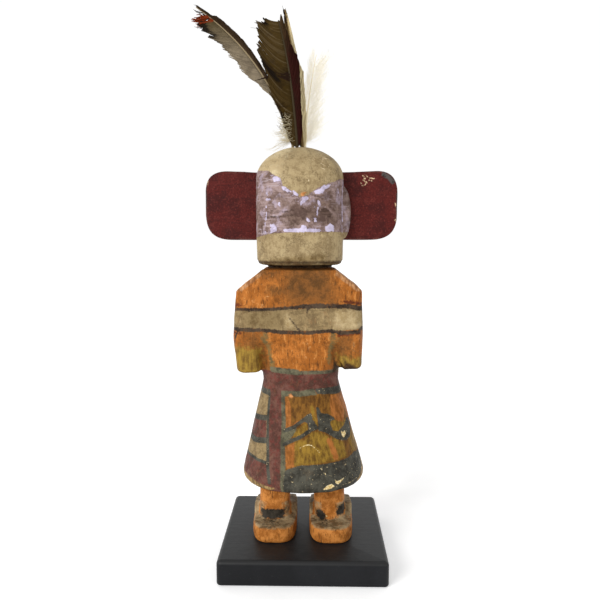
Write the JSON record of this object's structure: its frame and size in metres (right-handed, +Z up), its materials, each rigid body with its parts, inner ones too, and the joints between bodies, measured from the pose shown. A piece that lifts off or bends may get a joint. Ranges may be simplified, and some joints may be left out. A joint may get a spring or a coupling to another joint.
{
  "type": "kachina doll",
  "caption": "Carved and painted wooden standing doll with paddle ears and a feather crest, fixed on a square black block.",
  "frame": {"origin": "centre of the block's underside", "axes": "+Z up through the figure, +Y the way the doll faces, so its painted back is towards -Y, +X to the right as seen from behind"},
  "size_m": [0.1258, 0.102, 0.3464],
  "materials": {
    "painted_wood": "worn paint over carved soft wood, satin",
    "red_paint": "dark red paint over thin wood, satin",
    "black_paint": "black satin paint over wood",
    "dark_feather": "olive-brown feather vanes on a dark shaft",
    "grey_feather": "grey-brown feather vanes with a dark brown edge",
    "cream_feather": "brown and cream feather vanes",
    "white_down": "loose white down"
  },
  "bodies": {
    "root": {"carved_figure": "painted_wood", "ear_left": "red_paint", "ear_right": "red_paint", "base_block": "black_paint", "feather_broken": "dark_feather", "feather_curved": "grey_feather", "feather_cream": "cream_feather", "feather_down": "white_down"}
  },
  "joints": []
}
